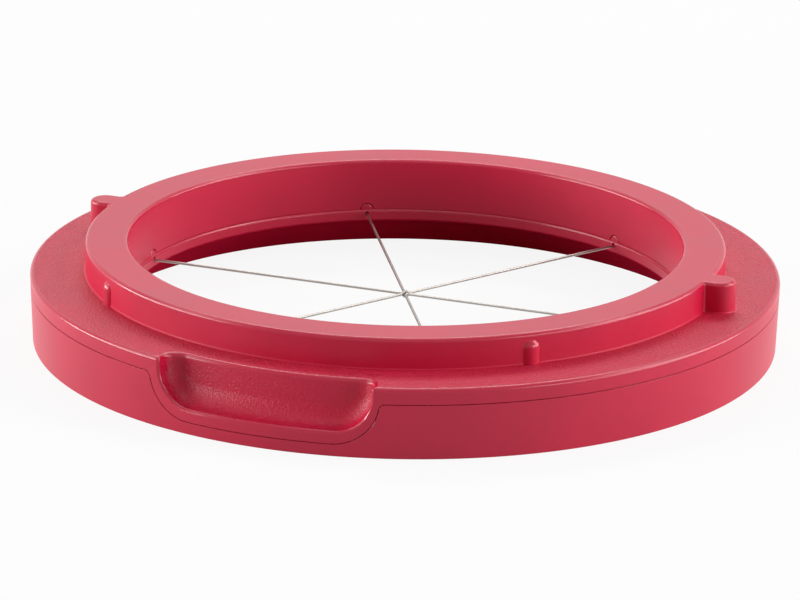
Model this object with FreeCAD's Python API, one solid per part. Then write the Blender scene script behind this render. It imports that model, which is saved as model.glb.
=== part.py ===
import FreeCAD
import Part
import math
import os

# Egg wedger ring: two moulded rings clamp three crossed steel wires.
# Millimetres. Z is up, X runs through the two lugs, and the finger recess faces -Y.
# The origin is the centre of the ring on the table.

# Driving dimensions, from the bore outwards
bore_radius = 35.1
wall = 1.6
collar_groove = 2.2
nesting_clearance = 0.3
spigot_wall = 1.0
spigot_clearance = 0.2
shell_clearance = 0.1
rim_wall = 2.2
draft_degrees = 1.9

# Driving dimensions, from the table upwards
socket_depth = 4.4
seat_web = 0.8
seam_step = 0.84
seam_gap = 0.08
skirt_lip = 0.5
collar_rise = 3.9
base_floor = 1.5
spigot_depth = 2.0

# Wires and the crimped sleeves on their ends
wire_diameter = 0.35
wire_gap = 0.02
wire_count = 3
wire_drop = 0.6
kink_half = 1.5
hole_clearance = 0.05
ferrule_length = 1.4
ferrule_wall = 0.4
ferrule_gap = 0.05
crimp_clearance = 0.02
wire_tail = 0.15

# Wire exits at the bore
tongue_radius = 0.9
tongue_drop = 0.1
notch_clearance = 0.1
lip_proud = 0.2

# Lugs and ribs on the collar
lug_width = 3.8
lug_reach = 3.3
lug_root_round = 0.3
lug_count = 2
rib_radius = 1.3
rib_proud = 0.5
rib_drop = 0.6
rib_degrees = 43.5

# Finger recess and the apron round it
recess_width = 28.0
recess_corner = 5.0
recess_hollow_round = 2.0
apron_side = 1.3
apron_floor = 1.62
apron_gap = 0.08
tub_wall = 1.6
tub_clearance = 0.3

# Broken edges of the mouldings
rim_bevel = 0.4
collar_bevel = 0.4
base_bevel = 0.15
lip_top_bevel = 0.2
lip_foot_bevel = 0.5
seam_bevel = 0.12

# Beads on the spigot that snap under the base ring's rim
snap_count = 4
snap_sweep = 20.0
snap_height = 0.25
snap_half_rise = 0.4
snap_clearance = 0.1

# Room that a cutting tool runs past a surface, and the distance that counts as touching
overrun = 2.0
TOUCH = 1e-4

# Radii of the section
collar_radius = bore_radius + wall + collar_groove + wall
socket_radius = collar_radius + nesting_clearance
ledge_radius = socket_radius + wall
ferrule_start = ledge_radius + ferrule_gap
ferrule_end = ferrule_start + ferrule_length
spigot_inner_radius = ferrule_end + wire_tail + spigot_clearance
spigot_radius = spigot_inner_radius + spigot_wall
channel_radius = spigot_radius + shell_clearance
outer_radius = channel_radius + rim_wall
lip_radius = bore_radius - lip_proud
tub_inner_radius = ledge_radius + tub_clearance
recess_back_radius = tub_inner_radius + tub_wall

# Heights of the section
wire_radius = wire_diameter / 2
wire_pitch = wire_diameter + wire_gap
ledge_thickness = wire_drop + wire_radius + seat_web
inner_seam = socket_depth + ledge_thickness
outer_seam = inner_seam + seam_step
skirt_foot = outer_seam + seam_gap
flange_underside = outer_seam + skirt_lip
flange_top = flange_underside + wall
collar_top = flange_top + collar_rise
recess_floor = base_floor + apron_gap + apron_floor

# Wire exits
notch_radius = tongue_radius + notch_clearance
exit_axis = inner_seam - tongue_drop
wire_axis = inner_seam - wire_drop

X_AXIS = FreeCAD.Vector(1, 0, 0)
Y_AXIS = FreeCAD.Vector(0, 1, 0)
Z_AXIS = FreeCAD.Vector(0, 0, 1)
ORIGIN = FreeCAD.Vector(0, 0, 0)


def outer_radius_at(height):
    """Radius of the drafted outer wall, which leans in towards the table."""
    return outer_radius - (flange_top - height) * math.tan(math.radians(draft_degrees))


def in_section(across, height):
    """A point of an outline drawn in the upright XZ plane."""
    return FreeCAD.Vector(across, 0, height)


def in_plan(across, along):
    """A point of an outline drawn in the flat XY plane."""
    return FreeCAD.Vector(across, along, 0)


def rounded_face(corners, place):
    """A face from (first, second, round) corners. A round of zero leaves the corner sharp."""
    points = [place(first, second) for first, second, _ in corners]
    entries = []
    exits = []
    edges = []
    for index, (_, _, size) in enumerate(corners):
        corner = points[index]
        to_last = (points[index - 1] - corner).normalize()
        to_next = (points[(index + 1) % len(points)] - corner).normalize()
        setback = size / math.tan(to_last.getAngle(to_next) / 2)
        entries.append(corner + to_last * setback)
        exits.append(corner + to_next * setback)
    for index, (_, _, size) in enumerate(corners):
        corner = points[index]
        if size > 0:
            inward = (entries[index] + exits[index] - corner * 2).normalize()
            reach = (entries[index] - corner).Length
            middle = corner + inward * (math.hypot(reach, size) - size)
            edges.append(Part.Arc(entries[index], middle, exits[index]).toShape())
        following = (index + 1) % len(corners)
        if exits[index].distanceToPoint(entries[following]) > TOUCH:
            edges.append(Part.makeLine(exits[index], entries[following]))
    return Part.Face(Part.Wire(edges))


def lathe(corners):
    """A ring turned about Z from (radius, height, bevel) corners. A bevel of zero stays sharp."""
    points = [in_section(radius, height) for radius, height, _ in corners]
    outline = []
    for index, (_, _, bevel) in enumerate(corners):
        corner = points[index]
        to_last = (points[index - 1] - corner).normalize()
        to_next = (points[(index + 1) % len(points)] - corner).normalize()
        outline.append(corner + to_last * bevel)
        if bevel > 0:
            outline.append(corner + to_next * bevel)
    section = Part.Face(Part.makePolygon(outline + outline[:1]))
    return section.revolve(ORIGIN, Z_AXIS, 360)


def disc(radius, low, high):
    return Part.makeCylinder(radius, high - low, FreeCAD.Vector(0, 0, low))


def turned(shape, degrees):
    copy = shape.copy()
    copy.rotate(ORIGIN, Z_AXIS, degrees)
    return copy


def wire_angle(index):
    """Direction of a wire. The pattern is even, and the top wire lies one step on from the lugs."""
    return 180.0 / wire_count * ((index + 1) % wire_count)


def wire_rise(index):
    """How far a wire's middle is bent up or down, because each crosses just under the one before it."""
    return ((wire_count - 1) / 2 - index) * wire_pitch


def at_exits(shape):
    """A copy of the shape at each end of each wire."""
    copies = []
    for index in range(wire_count):
        for end in (0.0, 180.0):
            copies.append(turned(shape, wire_angle(index) + end))
    return copies


def radial_bar(radius, start, end, height):
    """A round bar that lies along X, from one radius of the ring to another."""
    return Part.makeCylinder(radius, end - start, FreeCAD.Vector(start, 0, height), X_AXIS)


def six_sided_bar(flat_radius, start, end):
    """A six-sided bar round a wire's axis along X, given the distance from that axis to its flats."""
    corner_radius = flat_radius / math.cos(math.pi / 6)
    points = []
    for corner in range(7):
        angle = math.radians(60 * corner)
        across = corner_radius * math.cos(angle)
        height = wire_axis + corner_radius * math.sin(angle)
        points.append(FreeCAD.Vector(start, across, height))
    return Part.Face(Part.makePolygon(points)).extrude(X_AXIS * (end - start))


def edges_where(shape, test):
    """The edges whose every sampled point passes the test."""
    found = []
    for edge in shape.Edges:
        points = edge.discretize(5)
        if all(test(point) for point in points):
            found.append(edge)
    return found


def from_axis(point):
    return math.hypot(point.x, point.y)


def near(value, target):
    return abs(value - target) < TOUCH


def lug():
    """A bayonet lug with a full round nose, along +X."""
    inner = collar_radius - wall
    tip = collar_radius + lug_reach
    nose = lug_width / 2
    corners = [
        (inner, -lug_width / 2, 0),
        (tip, -lug_width / 2, nose),
        (tip, lug_width / 2, nose),
        (inner, lug_width / 2, 0),
    ]
    face = rounded_face(corners, in_plan)
    face.translate(FreeCAD.Vector(0, 0, flange_underside))
    return face.extrude(Z_AXIS * (collar_top - flange_underside))


def rib():
    """A half-round rib on the collar wall, along +X, with a domed top."""
    dome_height = collar_top - rib_drop - rib_radius
    corners = [
        (0, flange_underside, 0),
        (rib_radius, flange_underside, 0),
        (rib_radius, dome_height + rib_radius, rib_radius),
        (0, dome_height + rib_radius, 0),
    ]
    post = rounded_face(corners, in_section).revolve(ORIGIN, Z_AXIS, 360)
    post.translate(X_AXIS * (collar_radius + rib_proud - rib_radius))
    return post


def upper_blank():
    """Solid collar, lugs and flange, with the collar's edges bevelled."""
    section = [
        (bore_radius, inner_seam, 0),
        (bore_radius, collar_top, collar_bevel),
        (collar_radius, collar_top, 0),
        (collar_radius, flange_top, 0),
        (outer_radius, flange_top, 0),
        (outer_radius_at(skirt_foot), skirt_foot, seam_bevel),
        (spigot_radius, skirt_foot, 0),
        (spigot_radius, outer_seam - spigot_depth, 0),
        (spigot_inner_radius, outer_seam - spigot_depth, 0),
        (spigot_inner_radius, flange_underside, 0),
        (bore_radius + wall, flange_underside, 0),
        (bore_radius + wall, inner_seam, 0),
    ]
    blank = lathe(section)
    for index in range(lug_count):
        blank = blank.fuse(turned(lug(), 360.0 / lug_count * index))
    blank = blank.removeSplitter()
    roots = [
        edge
        for edge in blank.Edges
        if near(edge.Length, collar_rise) and near(from_axis(edge.CenterOfMass), collar_radius)
    ]
    blank = blank.makeFillet(lug_root_round, roots)
    top = edges_where(blank, lambda p: near(p.z, collar_top) and from_axis(p) > collar_radius - TOUCH)
    return blank.makeChamfer(collar_bevel, top)


def front_block(half, foot, corner):
    """A block through the ring's wall at -Y, with round lower corners and an open top."""
    top = foot + recess_width
    corners = [
        (-half, top, 0),
        (-half, foot, corner),
        (half, foot, corner),
        (half, top, 0),
    ]
    face = rounded_face(corners, in_section)
    front = outer_radius + overrun
    face.translate(Y_AXIS * -front)
    return face.extrude(Y_AXIS * (front - bore_radius))


def apron_block(inset):
    """A U-shaped block through the wall at -Y. The inset keeps the apron clear of its cut-out."""
    half = recess_width / 2 + apron_side + apron_gap - inset
    foot = base_floor + inset
    corner = recess_corner + apron_side + apron_gap - inset
    return front_block(half, foot, corner)


def tub_wall_ring():
    """The band between the tub's hidden back and the drafted outer wall."""
    return lathe([
        (tub_inner_radius, 0, 0),
        (outer_radius_at(0), 0, 0),
        (outer_radius_at(flange_underside), flange_underside, 0),
        (tub_inner_radius, flange_underside, 0),
    ])


def recess_cutter():
    """The hollow that a fingertip fills, with its inner corners rounded."""
    block = front_block(recess_width / 2, recess_floor, recess_corner)
    cutter = block.cut(disc(recess_back_radius, 0, block.BoundBox.ZMax))
    back = edges_where(cutter, lambda p: near(from_axis(p), recess_back_radius))
    back = [edge for edge in back if edge.BoundBox.ZMin < block.BoundBox.ZMax - TOUCH]
    return cutter.makeFillet(recess_hollow_round, back)


def snap_beads(clearance):
    """Short wedge beads round the spigot, or the pockets for them when they are given clearance."""
    middle = outer_seam - spigot_depth / 2
    rise = snap_half_rise + clearance
    inner = spigot_radius - spigot_wall / 2
    tip = spigot_radius + snap_height + clearance
    face = Part.Face(Part.makePolygon([
        in_section(inner, middle - rise),
        in_section(spigot_radius, middle - rise),
        in_section(tip, middle),
        in_section(spigot_radius, middle + rise),
        in_section(inner, middle + rise),
        in_section(inner, middle - rise),
    ]))
    sweep = snap_sweep + math.degrees(2 * clearance / spigot_radius)
    bead = turned(face.revolve(ORIGIN, Z_AXIS, sweep), -sweep / 2)
    return [turned(bead, 360.0 / snap_count * (index + 0.5)) for index in range(snap_count)]


def upper_ring():
    body = upper_blank()
    for bead in snap_beads(0):
        body = body.fuse(bead)
    for side in (-90.0, 90.0):
        for offset in (-rib_degrees, rib_degrees):
            body = body.fuse(turned(rib(), side + offset))
    groove = disc(bore_radius + wall + collar_groove, inner_seam, collar_top - wall)
    body = body.cut(groove.cut(disc(bore_radius + wall, inner_seam, collar_top - wall)))
    apron = apron_block(apron_gap).common(tub_wall_ring())
    body = body.fuse(apron).removeSplitter()
    body = body.cut(recess_cutter())
    rim = edges_where(body, is_recess_rim)
    body = body.makeChamfer(rim_bevel, rim)
    for notch in at_exits(notch_cutter()):
        body = body.cut(notch)
    return body


def is_recess_rim(point):
    """True on the flange's outer edge and on the mouth of the recess."""
    on_outer_wall = near(from_axis(point), outer_radius_at(point.z))
    on_flange = near(point.z, flange_top)
    inside_mouth = abs(point.x) < recess_width / 2 + TOUCH and point.y < 0
    if on_outer_wall and on_flange:
        return True
    if on_outer_wall and inside_mouth:
        return point.z > recess_floor - TOUCH
    return on_flange and inside_mouth and from_axis(point) > recess_back_radius - TOUCH


def notch_cutter():
    return radial_bar(notch_radius, bore_radius - overrun, bore_radius + wall + overrun, exit_axis)


def tongue():
    """A half-round boss on the lip, which fills the notch above a wire and keys the rings together."""
    bar = radial_bar(tongue_radius, lip_radius - overrun, bore_radius + wall, exit_axis)
    return bar.cut(disc(lip_radius, 0, collar_top)).cut(disc(collar_radius, 0, exit_axis))


def wire_hole():
    """The hole through the lip that a wire is threaded through before its end is crimped."""
    return six_sided_bar(wire_radius + hole_clearance, lip_radius - overrun, ledge_radius + overrun)


def base_ring():
    section = [
        (socket_radius, 0, base_bevel),
        (outer_radius_at(0), 0, base_bevel),
        (outer_radius_at(outer_seam), outer_seam, seam_bevel),
        (channel_radius, outer_seam, 0),
        (channel_radius, base_floor, 0),
        (ledge_radius, base_floor, 0),
        (ledge_radius, inner_seam, 0),
        (lip_radius, inner_seam, lip_top_bevel),
        (lip_radius, socket_depth, lip_foot_bevel),
        (socket_radius, socket_depth, 0),
    ]
    body = lathe(section)
    for boss in at_exits(tongue()):
        body = body.fuse(boss)
    for hole in at_exits(wire_hole()):
        body = body.cut(hole)
    for pocket in snap_beads(snap_clearance):
        body = body.cut(pocket)
    opening = apron_block(0).cut(disc(ledge_radius + tub_clearance / 2, 0, flange_top))
    return body.cut(opening)


def wire(index):
    """A taut level wire. Its middle is bent up or down for a short way, where the wires cross."""
    half = ferrule_end + wire_tail
    points = [in_section(-half, wire_axis), in_section(half, wire_axis)]
    rise = wire_rise(index)
    if rise != 0:
        points[1:1] = [
            in_section(-kink_half, wire_axis),
            in_section(0, wire_axis + rise),
            in_section(kink_half, wire_axis),
        ]
    section = Part.Wire(Part.makeCircle(wire_radius, points[0], X_AXIS))
    path = Part.makePolygon(points)
    return turned(path.makePipeShell([section], True, False, 1), wire_angle(index))


def ferrule():
    """A crimped sleeve on a wire's end, squeezed to six flats."""
    hole = wire_radius + crimp_clearance
    sleeve = six_sided_bar(hole + ferrule_wall, ferrule_start, ferrule_end)
    return sleeve.cut(six_sided_bar(hole, ferrule_start - overrun, ferrule_end + overrun))


def export(name, shape):
    shape.exportStep(f"parts/{name}.step")
    print(name, "solids", len(shape.Solids), "valid", shape.isValid(), "volume", round(shape.Volume, 2))


os.makedirs("parts", exist_ok=True)
export("upper_ring", upper_ring())
export("base_ring", base_ring())
for index in range(wire_count):
    export(f"cutting_wire_{index + 1}", wire(index))
for index, sleeve in enumerate(at_exits(ferrule())):
    export(f"wire_ferrule_{index // 2 + 1}{'ab'[index % 2]}", sleeve)
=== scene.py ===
# %% [markdown]
# # An egg wedger ring
# Two red moulded rings are snapped together and clamp three crossed steel wires.
# A boiled egg pushed through the bore comes out as six wedges.
# The frame below is the measured model. It is in metres, with Z up, the two lugs on the
# X axis and the finger recess facing -Y. New pieces are modelled in that same frame.

# %% Load the frame
import math

import bmesh
import bpy
from mathutils import Matrix, Vector


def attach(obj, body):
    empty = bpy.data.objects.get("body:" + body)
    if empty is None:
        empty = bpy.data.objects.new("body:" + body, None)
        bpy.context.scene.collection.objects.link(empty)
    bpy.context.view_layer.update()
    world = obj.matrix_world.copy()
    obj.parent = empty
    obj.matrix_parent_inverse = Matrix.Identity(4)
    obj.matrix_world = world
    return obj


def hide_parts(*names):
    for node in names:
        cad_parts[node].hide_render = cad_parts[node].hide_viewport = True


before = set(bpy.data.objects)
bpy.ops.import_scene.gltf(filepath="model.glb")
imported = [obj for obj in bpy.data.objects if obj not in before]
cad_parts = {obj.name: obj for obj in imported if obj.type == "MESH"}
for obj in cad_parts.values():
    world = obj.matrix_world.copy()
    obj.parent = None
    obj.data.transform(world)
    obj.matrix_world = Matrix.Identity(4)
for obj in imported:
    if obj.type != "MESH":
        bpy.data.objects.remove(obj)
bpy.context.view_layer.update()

mm = 0.001
print("nodes:", ", ".join(sorted(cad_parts)))

# %% [markdown]
# ## Sizes
# The section of the ring is set by a few radii and heights. Everything that is drawn
# later, such as the recess, the apron round it and the lugs, takes its place from these.

# %% Radii and heights of the section
bore_radius = 35.1 * mm
lip_radius = 34.9 * mm
groove_inner_radius = 36.7 * mm
groove_outer_radius = 38.9 * mm
collar_radius = 40.5 * mm
socket_radius = 40.8 * mm
ledge_radius = 42.4 * mm
tub_radius = 42.7 * mm
spigot_inner_radius = 44.2 * mm
recess_back_radius = 44.3 * mm
spigot_radius = 45.2 * mm
channel_radius = 45.3 * mm
outer_radius = 47.5 * mm
draft = math.radians(1.9)

base_floor = 1.5 * mm
recess_floor = 3.2 * mm
socket_depth = 4.4 * mm
spigot_foot = 4.815 * mm
inner_seam = 5.975 * mm
outer_seam = 6.815 * mm
skirt_foot = 6.895 * mm
flange_underside = 7.315 * mm
flange_top = 8.915 * mm
groove_top = 11.215 * mm
collar_top = 12.815 * mm


def outer_radius_at(height):
    """Radius of the outer wall, which leans in towards the table so that it leaves the mould."""
    return outer_radius - (flange_top - height) * math.tan(draft)


# %% [markdown]
# ## Drawing outlines with a pen
# A moulded part is easiest to build from its edges. A lone vertex can be extruded along a
# line or spun along an arc, which leaves a chain of edges behind it, like a pen. The chains
# are closed into loops, and the walls are then pulled out of the loops.

# %% The pen
FRONT_AXIS = Vector((0, -1, 0))
UP = Vector((0, 0, 1))
MERGE_DISTANCE = 0.001 * mm


def new_since(sequence, known):
    """The items that an operator has added since the known ones were listed."""
    return [item for item in sequence if item not in known]


def draw_line(bm, pen, end, steps):
    """Extrudes the pen's vertex to the end point, in equal steps."""
    stride = (end - pen.co) / steps
    for _ in range(steps):
        pen = bmesh.ops.extrude_vert_indiv(bm, verts=[pen])["verts"][0]
        bmesh.ops.translate(bm, verts=[pen], vec=stride)
    return pen


def draw_arc(bm, pen, centre, axis, angle, steps):
    """Spins the pen's vertex about a centre."""
    made = bmesh.ops.spin(
        bm, geom=[pen], cent=centre, axis=axis, angle=angle, steps=steps, dvec=(0, 0, 0)
    )
    return next(item for item in made["geom_last"] if isinstance(item, bmesh.types.BMVert))


CORNER_STEPS = 9
FLOOR_STEPS = 14
BACK_STEPS = 330


def draw_front(bm, half, foot, corner, top, radius_at, shift=0.0):
    """The U of the recess or apron: down, round, along and up, then wrapped on a round wall."""
    known = set(bm.verts)
    height = foot + corner
    # A corner that would rise past the top is cut off there. One that ends below it gets an
    # upright, which takes one of its steps, so that every U has as many points.
    cut_off = math.asin(max(0.0, (height - top) / corner))
    corner_steps = CORNER_STEPS
    pen = bm.verts.new((corner - half - corner * math.cos(cut_off), 0, top))
    if height < top:
        pen = draw_line(bm, pen, Vector((-half, 0, height)), 1)
        corner_steps -= 1
    turn = math.pi / 2 - cut_off
    pen = draw_arc(bm, pen, Vector((corner - half, 0, height)), FRONT_AXIS, turn, corner_steps)
    pen = draw_line(bm, pen, Vector((half - corner, 0, foot)), FLOOR_STEPS)
    pen = draw_arc(bm, pen, Vector((half - corner, 0, height)), FRONT_AXIS, turn, corner_steps)
    if height < top:
        pen = draw_line(bm, pen, Vector((half, 0, top)), 1)
    outline = new_since(bm.verts, known)
    for vert in outline:
        vert.co.x += shift
        vert.co.y = -math.sqrt(radius_at(vert.co.z) ** 2 - vert.co.x ** 2)
    return outline[0], pen


def draw_wall_loop(bm, half, foot, corner, top, shift=0.0):
    """A U on the outer wall, closed round the back of the ring at the height of its top."""
    known_verts = set(bm.verts)
    known_edges = set(bm.edges)
    first, pen = draw_front(bm, half, foot, corner, top, outer_radius_at, shift)
    width = math.atan2(pen.co.x, -pen.co.y) - math.atan2(first.co.x, -first.co.y)
    sweep = 2 * math.pi - width
    draw_arc(bm, pen, Vector((0, 0, 0)), UP, sweep, BACK_STEPS)
    bmesh.ops.remove_doubles(bm, verts=new_since(bm.verts, known_verts), dist=MERGE_DISTANCE)
    return new_since(bm.edges, known_edges)


def extrude_loop(bm, loop, place):
    """Extrudes a loop of edges, and moves each new vertex to where place puts it."""
    made = bmesh.ops.extrude_edge_only(bm, edges=loop)["geom"]
    verts = {item for item in made if isinstance(item, bmesh.types.BMVert)}
    for vert in verts:
        vert.co = place(vert.co)
    edges = [item for item in made if isinstance(item, bmesh.types.BMEdge)]
    return [edge for edge in edges if verts.issuperset(edge.verts)]


def at(point, radius, height):
    """The point moved straight in or out from the Z axis, and to a height."""
    flat = Vector((point.x, point.y, 0)).normalized() * radius
    return Vector((flat.x, flat.y, height))


print("pen ready:", 2 * CORNER_STEPS + FLOOR_STEPS + BACK_STEPS, "points to a loop")

# %% [markdown]
# ## Finishing a mesh
# No moulded edge is sharp. The bevel operator with a few segments and a profile of 0.5
# turns an edge into a round, and the round is what catches the light as a thin bright
# line. The edges are found by the angle between their faces and by where they lie.

# %% Rounds, booleans and objects
CREASE = math.radians(28)
TOLERANCE = 0.002 * mm


def near(value, target):
    return abs(value - target) < TOLERANCE


def from_axis(point):
    return math.hypot(point.x, point.y)


def both_ends(edge, test):
    """True where both ends of an edge pass the test."""
    return all(test(vert.co) for vert in edge.verts)


def close_up(bm):
    """Merges vertices that lie on each other, and turns all faces outwards."""
    bmesh.ops.remove_doubles(bm, verts=bm.verts, dist=MERGE_DISTANCE)
    bmesh.ops.recalc_face_normals(bm, faces=bm.faces)


def close_ends(bm):
    """Closes every open end with a flat face."""
    bmesh.ops.remove_doubles(bm, verts=bm.verts, dist=MERGE_DISTANCE)
    bmesh.ops.edgeloop_fill(bm, edges=[edge for edge in bm.edges if edge.is_boundary])
    bmesh.ops.recalc_face_normals(bm, faces=bm.faces)


def creases(bm, test):
    """Edges where two faces meet at an angle, and whose two ends pass the test."""
    found = []
    for edge in bm.edges:
        bent = len(edge.link_faces) == 2 and edge.calc_face_angle() > CREASE
        if bent and both_ends(edge, test):
            found.append(edge)
    return found


def round_off(bm, edges, radius, segments):
    """Rounds edges to a radius. loop_slide is off, so the round is as wide everywhere."""
    bmesh.ops.bevel(
        bm, geom=edges, offset=radius, offset_type="OFFSET", affect="EDGES", segments=segments,
        profile=0.5, material=-1, loop_slide=False, clamp_overlap=False,
    )


def as_object(bm, name):
    """Turns a drawn shape into an object of the scene."""
    mesh = bpy.data.meshes.new(name)
    bm.to_mesh(mesh)
    bm.free()
    piece = bpy.data.objects.new(name, mesh)
    bpy.context.scene.collection.objects.link(piece)
    return piece


def combine(piece, tool, operation):
    """Adds the tool's shape to the piece or cuts it away, and then removes the tool."""
    boolean = piece.modifiers.new(operation, "BOOLEAN")
    boolean.operation = operation
    boolean.solver = "EXACT"
    boolean.object = tool
    graph = bpy.context.evaluated_depsgraph_get()
    result = bpy.data.meshes.new_from_object(piece.evaluated_get(graph))
    piece.modifiers.clear()
    old = piece.data
    piece.data = result
    result.name = piece.name
    bpy.data.meshes.remove(old)
    bpy.data.objects.remove(tool)


def is_closed(piece):
    """True where every edge has two faces, so that the mesh has no gap and no wall inside."""
    bm = bmesh.new()
    bm.from_mesh(piece.data)
    closed = all(edge.is_manifold for edge in bm.edges)
    bm.free()
    return closed


def shade(piece):
    """Smooth faces with creases kept, and normals that follow the large flat faces."""
    piece.data.shade_smooth()
    piece.data.set_sharp_from_angle(angle=CREASE)
    weighted = piece.modifiers.new("weighted normals", "WEIGHTED_NORMAL")
    weighted.keep_sharp = True
    weighted.weight = 80


print("edges that bend more than", round(math.degrees(CREASE)), "degrees count as creases")

# %% [markdown]
# ## The upper ring: outer wall, recess and apron
# The finger recess is a shallow tub in the front of the wall. A border of even width, the
# apron, surrounds it and drops into a cut-out of the base ring. So the wall is a
# band between two loops: the mouth, which dips round the recess, and the skirt, which
# dips round the apron. Both loops have as many points, so a bridge between them is all quads.

# %% Outer wall of the upper ring
recess_half = 13.65 * mm
recess_corner = 4.4 * mm
recess_round = 2.5 * mm
apron_side = 1.25 * mm
apron_shift = -0.25 * mm
apron_gap = 0.08 * mm

upper = bmesh.new()
mouth = draw_wall_loop(upper, recess_half, recess_floor, recess_corner, flange_top)
skirt = draw_wall_loop(
    upper, recess_half + apron_side, base_floor + apron_gap, recess_corner + apron_side, skirt_foot,
    apron_shift,
)
bmesh.ops.bridge_loops(upper, edges=mouth + skirt)
print("outer wall:", len(upper.faces), "faces")

# %% [markdown]
# The recess is hollowed with the same U, drawn smaller and deeper along a quarter circle,
# which leaves a wide round between its walls and its back. The back is the last U pulled
# straight up to the flange.

# %% Finger recess
RECESS_STEPS = 7


def in_recess_mouth(point):
    return point.y < 0 and abs(point.x) < recess_half + TOLERANCE


chain = [edge for edge in mouth if both_ends(edge, in_recess_mouth)]
for step in range(RECESS_STEPS + 1):
    turn = math.pi / 2 * step / RECESS_STEPS
    inset = recess_round * (1 - math.cos(turn))
    depth_radius = recess_back_radius + recess_round * (1 - math.sin(turn))
    known = set(upper.edges)
    draw_front(
        upper, recess_half - inset, recess_floor + inset, recess_corner - inset, flange_top,
        lambda height: depth_radius,
    )
    deeper = new_since(upper.edges, known)
    bmesh.ops.bridge_loops(upper, edges=chain + deeper)
    chain = deeper
extrude_loop(upper, chain, lambda point: Vector((point.x, point.y, flange_top)))
bmesh.ops.remove_doubles(upper, verts=upper.verts, dist=MERGE_DISTANCE)
print("recess:", len(upper.faces), "faces so far")

# %% [markdown]
# ## The upper ring: collar and lugs
# In plan the collar is a circle with two bayonet lugs. Each lug has a full round nose and
# a small round where it grows out of the collar. Half of the outline is drawn and then
# copied half a turn on. The flange is filled between the outline and the rim, and the
# collar is the outline extruded upwards.

# %% Collar outline with lugs
lug_half_width = 1.9 * mm
lug_reach = 3.3 * mm
lug_root = 0.3 * mm
NOSE_STEPS = 14
FLANK_STEPS = 2
ROOT_STEPS = 5
COLLAR_STEPS = 172


def draw_collar_outline(bm, height):
    """Root, flank, nose, flank and root of one lug and half of the circle, then all of it again."""
    known_verts = set(bm.verts)
    known_edges = set(bm.edges)
    side = lug_half_width + lug_root
    reach = math.sqrt((collar_radius + lug_root) ** 2 - side ** 2)
    root_angle = math.atan2(side, reach)
    nose = collar_radius + lug_reach - lug_half_width
    turn = math.pi / 2 - root_angle
    pen = bm.verts.new(at(Vector((reach, -side, 0)), collar_radius, height))
    pen = draw_arc(bm, pen, Vector((reach, -side, height)), -UP, turn, ROOT_STEPS)
    pen = draw_line(bm, pen, Vector((nose, -lug_half_width, height)), FLANK_STEPS)
    pen = draw_arc(bm, pen, Vector((nose, 0, height)), UP, math.pi, NOSE_STEPS)
    pen = draw_line(bm, pen, Vector((reach, lug_half_width, height)), FLANK_STEPS)
    pen = draw_arc(bm, pen, Vector((reach, side, height)), -UP, turn, ROOT_STEPS)
    draw_arc(bm, pen, Vector((0, 0, 0)), UP, math.pi - 2 * root_angle, COLLAR_STEPS)
    half = new_since(bm.verts, known_verts) + new_since(bm.edges, known_edges)
    bmesh.ops.spin(
        bm, geom=half, cent=(0, 0, 0), axis=UP, angle=math.pi, steps=1, dvec=(0, 0, 0),
        use_duplicate=True,
    )
    bmesh.ops.remove_doubles(bm, verts=new_since(bm.verts, known_verts), dist=MERGE_DISTANCE)
    return new_since(bm.edges, known_edges)


def on_flange(point):
    return near(point.z, flange_top)


flange_rim = [edge for edge in upper.edges if edge.is_boundary and both_ends(edge, on_flange)]
collar_foot = draw_collar_outline(upper, flange_top)
bmesh.ops.triangle_fill(upper, edges=flange_rim + collar_foot, use_beauty=True, normal=UP)
collar_rim = extrude_loop(upper, collar_foot, lambda point: Vector((point.x, point.y, collar_top)))
print("collar outline:", len(collar_foot), "edges, flange rim:", len(flange_rim), "edges")

# %% [markdown]
# ## The upper ring: the side that faces the base ring
# The hidden side is a chain of loops from the skirt inwards: the spigot that plugs into
# the base ring, the flange's underside, the groove that keeps the collar's walls thin, and
# the bore. In front of the recess the same loops follow the back of the tub instead.

# %% Underside and bore of the upper ring
def below_skirt_top(point):
    return point.z < skirt_foot + TOLERANCE


def on_skirt_foot(point):
    return near(point.z, skirt_foot)


def on_spigot(point):
    return from_axis(point) > (tub_radius + spigot_inner_radius) / 2


def behind_skirt(point):
    return at(point, spigot_radius if on_skirt_foot(point) else tub_radius, point.z)


def spigot_step(radius, height):
    """Places the spigot's points, and leaves those behind the tub where they are."""
    return lambda point: at(point, radius, height) if on_spigot(point) else point.copy()


def under_flange(point):
    return at(point, spigot_inner_radius if on_spigot(point) else tub_radius, flange_underside)


loop = [edge for edge in upper.edges if edge.is_boundary and both_ends(edge, below_skirt_top)]
for place in (
    behind_skirt,
    spigot_step(spigot_radius, spigot_foot),
    spigot_step(spigot_inner_radius, spigot_foot),
    under_flange,
):
    loop = extrude_loop(upper, loop, place)
for radius, height in (
    (groove_outer_radius, flange_underside),
    (groove_outer_radius, groove_top),
    (groove_inner_radius, groove_top),
    (groove_inner_radius, inner_seam),
    (bore_radius, inner_seam),
    (bore_radius, collar_top),
):
    loop = extrude_loop(upper, loop, lambda point: at(point, radius, height))
bmesh.ops.triangle_fill(upper, edges=loop + collar_rim, use_beauty=True, normal=UP)
close_up(upper)
bmesh.ops.dissolve_degenerate(upper, edges=upper.edges, dist=MERGE_DISTANCE / 2)
print("upper ring closed:", all(edge.is_manifold for edge in upper.edges))

# %% [markdown]
# Now the rounds. The rim, the mouth of the recess and the collar's top are one family, about
# half a millimetre. The collar's foot is tighter, and the seam has only a hair-thin round.

# %% Rounds of the upper ring
rim_round = 0.48 * mm
collar_round = 0.45 * mm
bore_round = 0.45 * mm
foot_round = 0.25 * mm
seam_round = 0.05 * mm
seam_corner = 0.6 * mm


def on_outer_wall(point):
    return abs(from_axis(point) - outer_radius_at(point.z)) < TOLERANCE


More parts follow.
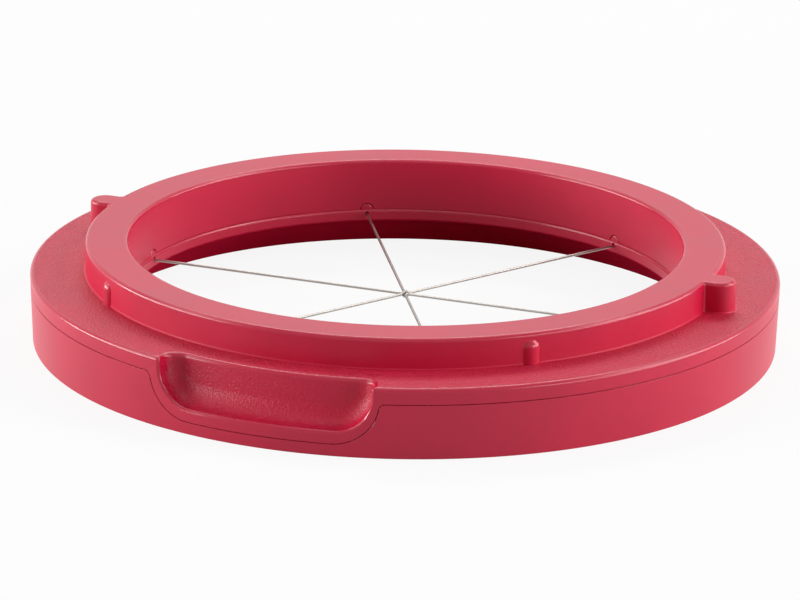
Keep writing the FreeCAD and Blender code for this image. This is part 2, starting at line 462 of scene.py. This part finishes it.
def on_mouth(point):
    recess_edge = in_recess_mouth(point) and point.z > recess_floor - TOLERANCE
    on_rim = on_outer_wall(point) and (on_flange(point) or recess_edge)
    behind = on_flange(point) and in_recess_mouth(point)
    return on_rim or (behind and from_axis(point) > recess_back_radius - TOLERANCE)


def on_collar_top(point):
    return near(point.z, collar_top) and from_axis(point) > collar_radius - TOLERANCE


def on_bore_top(point):
    return near(point.z, collar_top) and near(from_axis(point), bore_radius)


def on_collar_foot(point):
    return on_flange(point) and from_axis(point) < collar_radius + lug_reach + TOLERANCE


def on_skirt(point):
    return on_outer_wall(point) and below_skirt_top(point)


def on_bore_foot(point):
    return near(point.z, inner_seam) and near(from_axis(point), bore_radius)


def across_wall(edge):
    """True for an edge that runs straight in from the outer wall, as where seam and apron meet."""
    start, end = edge.verts
    return abs(from_axis(start.co) - from_axis(end.co)) > 1 * mm


apron_roots = [edge for edge in creases(upper, on_skirt_foot) if across_wall(edge)]
round_off(upper, apron_roots, seam_corner + apron_gap, 4)
round_off(upper, creases(upper, on_mouth), rim_round, 5)
round_off(upper, creases(upper, on_collar_top), collar_round, 6)
round_off(upper, creases(upper, on_bore_top), bore_round, 5)
round_off(upper, creases(upper, on_collar_foot), foot_round, 3)
round_off(upper, creases(upper, on_skirt), seam_round, 3)
round_off(upper, creases(upper, on_bore_foot), seam_round, 2)
close_up(upper)
print("upper ring:", len(upper.faces), "faces after rounding")
upper_ring = as_object(upper, "upper_ring_moulding")

# %% [markdown]
# ## Ribs and wire notches
# Four half-round ribs stand on the collar wall and make a snug fit. Each is a post with a
# domed top, spun from a quarter arc. One is drawn, mirrored and repeated, and a Boolean joins
# all four to the ring.

# %% Ribs
rib_radius = 1.3 * mm
rib_proud = 0.5 * mm
rib_top = collar_top - 0.6 * mm
rib_foot = flange_underside + 0.2 * mm
rib_angle = math.radians(43.5)
RIB_SIDES = 32
DOME_STEPS = 8


def everything(bm):
    return bm.verts[:] + bm.edges[:] + bm.faces[:]


def turn_round(bm, angle):
    """Turns the whole shape about the Z axis."""
    bmesh.ops.rotate(bm, verts=bm.verts, cent=(0, 0, 0), matrix=Matrix.Rotation(angle, 3, "Z"))


def repeat_round(bm, count):
    """Copies the shape round the Z axis in equal steps."""
    sweep = 2 * math.pi * (count - 1) / count
    bmesh.ops.spin(
        bm, geom=everything(bm), cent=(0, 0, 0), axis=UP, angle=sweep, steps=count - 1,
        dvec=(0, 0, 0), use_duplicate=True,
    )
    bmesh.ops.recalc_face_normals(bm, faces=bm.faces)
    return bm


def rib_posts():
    """A post with a domed top, mirrored and copied to all four places."""
    bm = bmesh.new()
    dome = Vector((0, 0, rib_top - rib_radius))
    pen = bm.verts.new((0, 0, rib_top))
    pen = draw_arc(bm, pen, dome, -FRONT_AXIS, math.pi / 2, DOME_STEPS)
    pen = draw_line(bm, pen, Vector((rib_radius, 0, rib_foot)), 1)
    draw_line(bm, pen, Vector((0, 0, rib_foot)), 1)
    bmesh.ops.spin(
        bm, geom=everything(bm), cent=(0, 0, 0), axis=UP, angle=2 * math.pi, steps=RIB_SIDES,
        dvec=(0, 0, 0), use_merge=True,
    )
    close_up(bm)
    bmesh.ops.translate(bm, verts=bm.verts, vec=(collar_radius + rib_proud - rib_radius, 0, 0))
    turn_round(bm, math.pi / 2 - rib_angle)
    bmesh.ops.mirror(bm, geom=everything(bm), axis="X", merge_dist=0)
    return repeat_round(bm, 2)


combine(upper_ring, as_object(rib_posts(), "rib_tool"), "UNION")
print("upper ring:", len(upper_ring.data.polygons), "faces with ribs")

# %% [markdown]
# Under the collar, six small arches leave room for the tongues that carry the wires. Each is
# cut by a round bar that points at the centre. The bar ends past the wall on both sides,
# because a tool that ends flush with a face gives a ragged cut.

# %% Notches over the wires
EXIT_COUNT = 6
BAR_SIDES = 40
notch_radius = 0.96 * mm
exit_height = inner_seam - 0.1 * mm
overshoot = 1 * mm


def radial_bar(radius, start, end, height):
    """A round bar that points at the centre of the ring."""
    bm = bmesh.new()
    middle = Matrix.Translation(((start + end) / 2, 0, height))
    bmesh.ops.create_cone(
        bm, cap_ends=True, segments=BAR_SIDES, radius1=radius, radius2=radius, depth=end - start,
        matrix=middle @ Matrix.Rotation(math.pi / 2, 4, "Y"),
    )
    return bm


notch = radial_bar(
    notch_radius, bore_radius - overshoot, groove_inner_radius + overshoot, exit_height
)
combine(upper_ring, as_object(repeat_round(notch, EXIT_COUNT), "notch_tool"), "DIFFERENCE")
shade(upper_ring)
print("upper ring:", len(upper_ring.data.polygons), "faces, closed:", is_closed(upper_ring))

# %% [markdown]
# ## The base ring
# The base ring is one closed chain of loops, started from the top of its outer wall. That
# loop dips round the apron with a hair-thin gap, which shows as a fine dark line. From
# there one strip runs down the outside, and the chain goes round the hollow inside.

# %% Loops of the base ring
base = bmesh.new()
border = apron_side + apron_gap
cut_out = draw_wall_loop(
    base, recess_half + border, base_floor, recess_corner + border, outer_seam, apron_shift
)
extrude_loop(base, cut_out, lambda point: at(point, outer_radius_at(0), 0))
loop = extrude_loop(base, cut_out, lambda point: at(point, channel_radius, point.z))
for radius, height in (
    (channel_radius, base_floor),
    (ledge_radius, base_floor),
    (ledge_radius, inner_seam),
    (lip_radius, inner_seam),
    (lip_radius, socket_depth),
    (socket_radius, socket_depth),
    (socket_radius, 0),
    (outer_radius_at(0), 0),
):
    loop = extrude_loop(base, loop, lambda point: at(point, radius, height))
close_up(base)
bmesh.ops.dissolve_degenerate(base, edges=base.edges, dist=MERGE_DISTANCE / 2)
print("base ring closed:", all(edge.is_manifold for edge in base.edges))

# %% [markdown]
# The seam's edges are nearly sharp, as where two mouldings meet. The top of the lip has the
# largest round, which shows as a fine pale line inside the bore.

# %% Rounds of the base ring
bottom_round = 0.15 * mm
lip_top_round = 0.36 * mm
lip_foot_round = 0.25 * mm


def on_cut_out(point):
    return on_outer_wall(point) and point.z > base_floor - TOLERANCE


def on_outer_seam(point):
    return near(point.z, outer_seam)


def on_bottom(point):
    return near(point.z, 0)


def on_lip_top(point):
    return near(point.z, inner_seam) and near(from_axis(point), lip_radius)


def on_lip_foot(point):
    return near(point.z, socket_depth) and near(from_axis(point), lip_radius)


cut_out_corners = [edge for edge in creases(base, on_outer_seam) if across_wall(edge)]
round_off(base, cut_out_corners, seam_corner, 4)
round_off(base, creases(base, on_cut_out), seam_round, 3)
round_off(base, creases(base, on_bottom), bottom_round, 3)
round_off(base, creases(base, on_lip_top), lip_top_round, 4)
round_off(base, creases(base, on_lip_foot), lip_foot_round, 5)
close_up(base)
base_ring = as_object(base, "base_ring_moulding")
print("base ring:", len(base_ring.data.polygons), "faces after rounding")

# %% [markdown]
# At each wire end a half-round tongue with a rounded front fills the arch under the collar
# and keys the two rings together. Below it, a small hole lets the wire through to its
# crimped end. A shallow nick above the hole, where the wire was laid in, shows as a dark spot.

# %% Tongues and wire holes
wire_radius = 0.175 * mm
wire_axis = inner_seam - 0.6 * mm
hole_radius = wire_radius + 0.05 * mm
tongue_radius = 0.9 * mm
tongue_front = bore_radius - 0.05 * mm
tongue_round = 0.25 * mm
nick_top = wire_axis + 0.4 * mm
nick_width = 0.4 * mm
nick_depth = 0.25 * mm


def on_tongue_front(point):
    return near(point.x, tongue_front)


def on_tongue_foot(point):
    return near(point.z, exit_height)


def half_round_tongue():
    """The upper half of a round bar, closed below and rounded along the arch of its front."""
    bm = radial_bar(tongue_radius, tongue_front, groove_inner_radius, exit_height)
    bmesh.ops.bisect_plane(
        bm, geom=everything(bm), plane_co=(0, 0, exit_height), plane_no=UP, clear_inner=True
    )
    close_ends(bm)
    arch = [edge for edge in creases(bm, on_tongue_front) if not both_ends(edge, on_tongue_foot)]
    round_off(bm, arch, tongue_round, 4)
    return bm


def wire_nick():
    """A small block, half of it inside the lip, from the middle of the wire upwards."""
    bm = bmesh.new()
    bmesh.ops.create_cube(bm, size=1)
    bmesh.ops.scale(bm, verts=bm.verts, vec=(2 * nick_depth, nick_width, nick_top - wire_axis))
    bmesh.ops.translate(bm, verts=bm.verts, vec=(lip_radius, 0, (nick_top + wire_axis) / 2))
    return bm


hole = radial_bar(hole_radius, lip_radius - overshoot, ledge_radius + overshoot, wire_axis)
for tool, name, operation in (
    (half_round_tongue(), "tongue_tool", "UNION"),
    (hole, "hole_tool", "DIFFERENCE"),
    (wire_nick(), "nick_tool", "DIFFERENCE"),
):
    combine(base_ring, as_object(repeat_round(tool, EXIT_COUNT), name), operation)
shade(base_ring)
print("base ring:", len(base_ring.data.polygons), "faces, closed:", is_closed(base_ring))

# %% [markdown]
# ## The wires
# Each wire is drawn steel, a third of a millimetre thick and pulled taut. It is a circle
# extruded from one side of the ring to the other, with the cut ends slightly rounded. All
# three run at one height, so where they cross, the top one has a short bend upwards and
# the lowest one a short bend downwards.

# %% Cutting wires
WIRE_COUNT = EXIT_COUNT // 2
WIRE_SIDES = 24
WIRE_CREASE = math.radians(20)
wire_end_round = 0.05 * mm
wire_half_length = 44.0 * mm
kink_half = 0.7 * mm
wire_pitch = 2 * wire_radius + 0.02 * mm


def wire_angle(index):
    """Direction of a wire, in the order in which they cross: the top one first."""
    return math.pi / WIRE_COUNT * ((index + 1) % WIRE_COUNT)


def on_wire_end(point):
    return near(abs(point.x), wire_half_length)


def cutting_wire(index):
    """A round wire with its bend at the crossing, turned to its direction."""
    rise = wire_pitch * ((WIRE_COUNT - 1) / 2 - index)
    straight = Vector((wire_half_length - kink_half, 0, 0))
    strides = (straight, Vector((kink_half, 0, rise)), Vector((kink_half, 0, -rise)), straight)
    bm = bmesh.new()
    start = Matrix.Translation((-wire_half_length, 0, wire_axis))
    bmesh.ops.create_circle(
        bm, cap_ends=False, segments=WIRE_SIDES, radius=wire_radius,
        matrix=start @ Matrix.Rotation(math.pi / 2, 4, "Y"),
    )
    loop = bm.edges[:]
    for stride in strides:
        loop = extrude_loop(bm, loop, lambda point: point + stride)
    close_ends(bm)
    round_off(bm, creases(bm, on_wire_end), wire_end_round, 2)
    turn_round(bm, wire_angle(index))
    return as_object(bm, f"drawn_wire_{index + 1}")


wires = [cutting_wire(index) for index in range(WIRE_COUNT)]
for wire in wires:
    wire.data.shade_smooth()
    wire.data.set_sharp_from_angle(angle=WIRE_CREASE)
print("wires closed:", [is_closed(wire) for wire in wires])

# %% [markdown]
# ## Materials
# Colours are written as sRGB hex values, as a colour picker shows them, and turned to
# the linear values that the shader needs. One function adds a node, sets it and links it.

# %% Node helpers
def linear(code):
    """Linear RGBA from an sRGB hex colour."""
    channels = [int(code[start:start + 2], 16) / 255 for start in (0, 2, 4)]
    curve = [c / 12.92 if c <= 0.04045 else ((c + 0.055) / 1.055) ** 2.4 for c in channels]
    return (*curve, 1.0)


def add_node(tree, kind, inputs=None, links=None, **settings):
    """Adds a node, sets its properties and sockets, and links its sockets to other outputs."""
    node = tree.nodes.new(kind)
    for name, value in settings.items():
        setattr(node, name, value)
    for name, value in (inputs or {}).items():
        node.inputs[name].default_value = value
    for name, output in (links or {}).items():
        tree.links.new(output, node.inputs[name])
    return node


def new_material(name):
    material = bpy.data.materials.new(name)
    material.use_nodes = True
    material.node_tree.nodes.clear()
    return material


print("raspberry in linear light:", [round(c, 3) for c in linear("C60C3A")[:3]])

# %% [markdown]
# The rings are injection-moulded ABS, coloured right through. The walls come from a
# polished mould and are smooth, with a faint waviness: the outside shines a little more than
# the collar and the bore. The flange and the recess come from a spark-eroded mould, which
# leaves an even grain that sparkles at a low angle. The grain is about 0.1 mm, too fine to
# show from here, so it is drawn at 0.3 mm, and in the recess a little finer. The rounded
# edges shine most, and the socket, which no polishing reaches, is matt.

# %% Moulded ABS, polished and spark-eroded
cloud_size = 9 * mm
gloss_spread = 0.05


def moulded_abs(name, roughness, gloss_level, grain_size, grain_depth):
    """Raspberry red with a hint of cloud, as pigment in plastic has, and a bump for the grain."""
    material = new_material(name)
    tree = material.node_tree
    place = add_node(tree, "ShaderNodeTexCoord").outputs["Object"]
    cloud = add_node(
        tree, "ShaderNodeTexNoise", {"Scale": 1 / cloud_size, "Detail": 3.0}, {"Vector": place}
    ).outputs["Fac"]
    colour = add_node(tree, "ShaderNodeValToRGB", links={"Fac": cloud})
    colour.color_ramp.elements[0].position = 0.3
    colour.color_ramp.elements[0].color = linear("C20A38")
    colour.color_ramp.elements[1].position = 0.7
    colour.color_ramp.elements[1].color = linear("CA0D3C")
    grain = add_node(
        tree, "ShaderNodeTexNoise", {"Scale": 1 / grain_size, "Detail": 2.0, "Roughness": 0.6},
        {"Vector": place},
    ).outputs["Fac"]
    bump = add_node(
        tree, "ShaderNodeBump", {"Strength": 1.0, "Distance": grain_depth}, {"Height": grain}
    ).outputs["Normal"]
    gloss = add_node(
        tree, "ShaderNodeMapRange",
        {"To Min": roughness - gloss_spread, "To Max": roughness + gloss_spread},
        {"Value": cloud},
    ).outputs["Result"]
    shader = add_node(
        tree, "ShaderNodeBsdfPrincipled", {"Specular IOR Level": gloss_level, "IOR": 1.5},
        {"Base Color": colour.outputs["Color"], "Roughness": gloss, "Normal": bump},
    )
    add_node(tree, "ShaderNodeOutputMaterial", links={"Surface": shader.outputs["BSDF"]})
    return material


FINISHES = (
    moulded_abs("ABS moulded satin raspberry", 0.42, 0.35, 3.0 * mm, 0.004 * mm),
    moulded_abs("ABS moulded spark-eroded raspberry", 0.48, 0.55, 0.3 * mm, 0.27 * mm),
    moulded_abs("ABS moulded fine-eroded raspberry", 0.38, 0.4, 0.25 * mm, 0.085 * mm),
    moulded_abs("ABS moulded polished raspberry", 0.37, 0.5, 3.0 * mm, 0.002 * mm),
    moulded_abs("ABS moulded bright raspberry", 0.22, 0.5, 3.0 * mm, 0.001 * mm),
    moulded_abs("ABS moulded matt raspberry", 0.75, 0.12, 0.7 * mm, 0.03 * mm),
)
SATIN, GRAINED, FINE_GRAINED, POLISHED, BRIGHT, MATT = range(len(FINISHES))
print("materials:", [finish.name for finish in FINISHES])

# %% [markdown]
# The wires are stainless spring steel, pulled through a drawing die. That leaves them smooth
# and mid grey, with a soft streak of light along their length. A wire this thin shows no
# scratches, so a slow change of tone and roughness along it is enough.

# %% Drawn steel
sheen_size = 2.5 * mm


def drawn_steel():
    """Mid grey metal with a slightly uneven sheen."""
    material = new_material("stainless steel drawn wire")
    tree = material.node_tree
    place = add_node(tree, "ShaderNodeTexCoord").outputs["Object"]
    cloud = add_node(
        tree, "ShaderNodeTexNoise", {"Scale": 1 / sheen_size, "Detail": 2.0}, {"Vector": place}
    ).outputs["Fac"]
    tint = add_node(tree, "ShaderNodeValToRGB", links={"Fac": cloud})
    tint.color_ramp.elements[0].color = linear("9D9A95")
    tint.color_ramp.elements[1].color = linear("AFABA5")
    gloss = add_node(
        tree, "ShaderNodeMapRange", {"To Min": 0.3, "To Max": 0.4}, {"Value": cloud}
    ).outputs["Result"]
    shader = add_node(
        tree, "ShaderNodeBsdfPrincipled", {"Metallic": 1.0},
        {"Base Color": tint.outputs["Color"], "Roughness": gloss},
    )
    add_node(tree, "ShaderNodeOutputMaterial", links={"Surface": shader.outputs["BSDF"]})
    return material


steel = drawn_steel()
print("material:", steel.name)

# %% [markdown]
# ## Finishes on the pieces
# The grain lies on the flange and, finer, inside the recess. The outer walls and the
# collar's top are polished. The rounds are bright, so they show as fine pale lines. The
# collar's wall and foot and the bore are satin, and the socket is matt.

# %% Assign finishes
FLAT = 0.999
UPRIGHT = 0.1
flank_margin = 0.2 * mm
wall_margin = 0.1 * mm


def in_recess(point):
    inside = abs(point.x) < recess_half - flank_margin and point.y < 0
    below_rim = recess_floor - TOLERANCE < point.z < flange_top - rim_round
    mouth_radius = outer_radius_at(point.z) - rim_round
    hollow = recess_back_radius - wall_margin < from_axis(point) < mouth_radius
    return inside and below_rim and hollow


def in_socket(point):
    below_lip = point.z < socket_depth + lip_foot_round
    return below_lip and from_axis(point) < socket_radius + wall_margin


def near_foot(point):
    return flange_top < point.z < flange_top + foot_round


def finish_of(face):
    """The finish of a face, from where it lies and how far it looks up."""
    if in_socket(face.center):
        return MATT
    if in_recess(face.center):
        return FINE_GRAINED
    if face.normal.z > FLAT and on_flange(face.center):
        return GRAINED
    if UPRIGHT < face.normal.z < FLAT and not near_foot(face.center):
        return BRIGHT
    outside = from_axis(face.center) > collar_radius + lug_reach + wall_margin
    return POLISHED if outside or near(face.center.z, collar_top) else SATIN


for ring in (upper_ring, base_ring):
    ring.data.materials.clear()
    for finish in FINISHES:
        ring.data.materials.append(finish)
    for face in ring.data.polygons:
        face.material_index = finish_of(face)
for wire in wires:
    wire.data.materials.append(steel)
numbers = [face.material_index for face in upper_ring.data.polygons]
counts = [numbers.count(number) for number in range(len(FINISHES))]
print("upper ring faces of each finish:", counts)

# %% [markdown]
# The new pieces stand for the measured rings and wires, and move with the one body. The
# crimped ferrules inside the ring stay as they are and only get the steel.

# %% Pieces on the body
for piece, node, slot in (
    (upper_ring, "upper_ring", "red_plastic"),
    (base_ring, "base_ring", "red_plastic"),
    *((wire, f"cutting_wire_{index + 1}", "steel") for index, wire in enumerate(wires)),
):
    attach(piece, "root")
    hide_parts(node)
for name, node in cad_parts.items():
    if name.startswith("wire_ferrule"):
        node.data.materials.clear()
        node.data.materials.append(steel)

# %% [markdown]
# ## Camera, floor and light
# The camera is a long lens just above the table, turned a little to the right of the
# recess. Its place was worked out from how round the ring's edges look.

# %% Camera
view_distance = 615.6 * mm
view_azimuth = math.radians(21.4)
view_elevation = math.radians(18.36)
view_pan = math.radians(-0.0567)
view_tilt = math.radians(0.401)
view_roll = math.radians(0.845)
view_lens = 217.3
view_sensor = 36

right = Vector((math.cos(view_azimuth), math.sin(view_azimuth), 0))
level = Vector((math.sin(view_azimuth), -math.cos(view_azimuth), 0)) * math.cos(view_elevation)
place = (level + UP * math.sin(view_elevation)) * view_distance
aim = -place.normalized()
aim = (aim + right * view_pan + right.cross(aim) * view_tilt).normalized()
right = aim.cross(UP).normalized()
above = right.cross(aim)
tilted_right = right * math.cos(view_roll) + above * math.sin(view_roll)
tilted_up = above * math.cos(view_roll) - right * math.sin(view_roll)

camera = bpy.data.objects.new("camera", bpy.data.cameras.new("camera"))
camera.data.sensor_width = view_sensor
camera.data.lens = view_lens
turn = Matrix((tilted_right, tilted_up, -aim)).transposed()
camera.matrix_world = Matrix.Translation(place) @ turn.to_4x4()
bpy.context.scene.collection.objects.link(camera)
bpy.context.scene.camera = camera
print("camera at", [round(value / mm) for value in place], "mm")

# %% [markdown]
# The floor is a plain pale sheet. The camera and every reflection see it as white, but it
# throws back only about half of the light, as a grey table does. That keeps the hollow under
# the lip dark. A tenth of its look is lit paper, so the ring still has a faint shadow.

# %% Floor
WHITE = (1, 1, 1, 1)
floor_radius = 3.0
white_share = 0.9


def seen_directly(tree):
    """One for rays that look at the background, and zero for the light that it throws back."""
    path = add_node(tree, "ShaderNodeLightPath").outputs
    either = add_node(
        tree, "ShaderNodeMath", links={0: path["Is Camera Ray"], 1: path["Is Glossy Ray"]},
        operation="MAXIMUM",
    ).outputs[0]
    return add_node(
        tree, "ShaderNodeMath", links={0: either, 1: path["Is Transmission Ray"]},
        operation="MAXIMUM",
    ).outputs[0]


def studio_paper():
    """Matt paper: white with a faint shadow where it is seen, and grey in the light it gives."""
    material = new_material("matt pale studio paper")
    tree = material.node_tree
    seen = seen_directly(tree)
    share = add_node(
        tree, "ShaderNodeMath", {1: white_share}, {0: seen}, operation="MULTIPLY"
    ).outputs[0]
    tone = add_node(tree, "ShaderNodeValToRGB", links={"Fac": seen})
    tone.color_ramp.elements[0].color = linear("C8C8C8")
    tone.color_ramp.elements[1].color = linear("EEEEEE")
    matt = add_node(tree, "ShaderNodeBsdfDiffuse", links={"Color": tone.outputs["Color"]})
    white = add_node(tree, "ShaderNodeEmission", {"Color": WHITE, "Strength": 1.0})
    mixed = add_node(
        tree, "ShaderNodeMixShader",
        links={0: share, 1: matt.outputs["BSDF"], 2: white.outputs["Emission"]},
    )
    add_node(tree, "ShaderNodeOutputMaterial", links={"Surface": mixed.outputs["Shader"]})
    return material


paper = bmesh.new()
bmesh.ops.create_circle(paper, cap_ends=True, segments=96, radius=floor_radius)
floor = as_object(paper, "floor")
floor.data.materials.append(studio_paper())
print("floor:", 2 * floor_radius, "m across")

# %% [markdown]
# The room is treated in the same way as the floor: white to look at, and nearly dark as a
# light. So the lamps alone model the shape, and the background stays white.

# %% Room
room_strength = 0.02

world = bpy.data.worlds.new("studio room")
world.use_nodes = True
world.node_tree.nodes.clear()
strength = add_node(
    world.node_tree, "ShaderNodeMapRange", {"To Min": room_strength, "To Max": 1.0},
    {"Value": seen_directly(world.node_tree)},
).outputs["Result"]
room = add_node(
    world.node_tree, "ShaderNodeBackground", {"Color": WHITE}, {"Strength": strength}
)
add_node(world.node_tree, "ShaderNodeOutputWorld", links={"Surface": room.outputs["Background"]})
bpy.context.scene.world = world
bpy.context.scene.view_settings.view_transform = "Standard"
print("room strength:", room_strength)

# %% [markdown]
# The light is a plain table set-up. Soft boxes on both sides, behind and overhead light the
# flat tops, and the one behind draws the pale lines on the rounds. A long low strip on each
# side runs along the table: seen in the upright walls at a grazing angle, the strips turn the
# ends of the ring pale and leave its front deep red. A low box lifts the right of the front.

# %% Lights
def soft_box(name, azimuth, elevation, distance, width, height, radiance):
    """A soft box aimed at the ring, with angles in degrees from +X and from the table, and sizes
    in metres. The power follows from its size and how bright it looks."""
    turn = math.radians(azimuth)
    rise = math.radians(elevation)
    level = Vector((math.cos(turn), math.sin(turn), 0)) * math.cos(rise)
    direction = level + UP * math.sin(rise)
    light = bpy.data.lights.new(name, "AREA")
    light.shape = "RECTANGLE"
    light.size = width
    light.size_y = height
    light.energy = radiance * math.pi * width * height
    lamp = bpy.data.objects.new(name, light)
    lamp.location = direction * distance
    lamp.rotation_mode = "QUATERNION"
    lamp.rotation_quaternion = direction.to_track_quat("Z", "Y")
    lamp.visible_camera = False
    bpy.context.scene.collection.objects.link(lamp)


soft_box("overhead", 0, 90, 1.0, 0.6, 0.6, 1.1)
soft_box("behind", 111, 50, 1.0, 0.6, 0.3, 6.2)
soft_box("left strip", 201, 8, 0.9, 0.9, 0.22, 11.9)
soft_box("left", 201, 35, 1.0, 0.5, 0.5, 3.0)
soft_box("right strip", 21, 8, 0.9, 0.9, 0.22, 6.2)
soft_box("right", 21, 35, 1.0, 0.5, 0.5, 5.6)
soft_box("right front", -19, 10, 1.0, 0.5, 0.3, 4.9)
print("lights:", [light.name for light in bpy.data.lights])
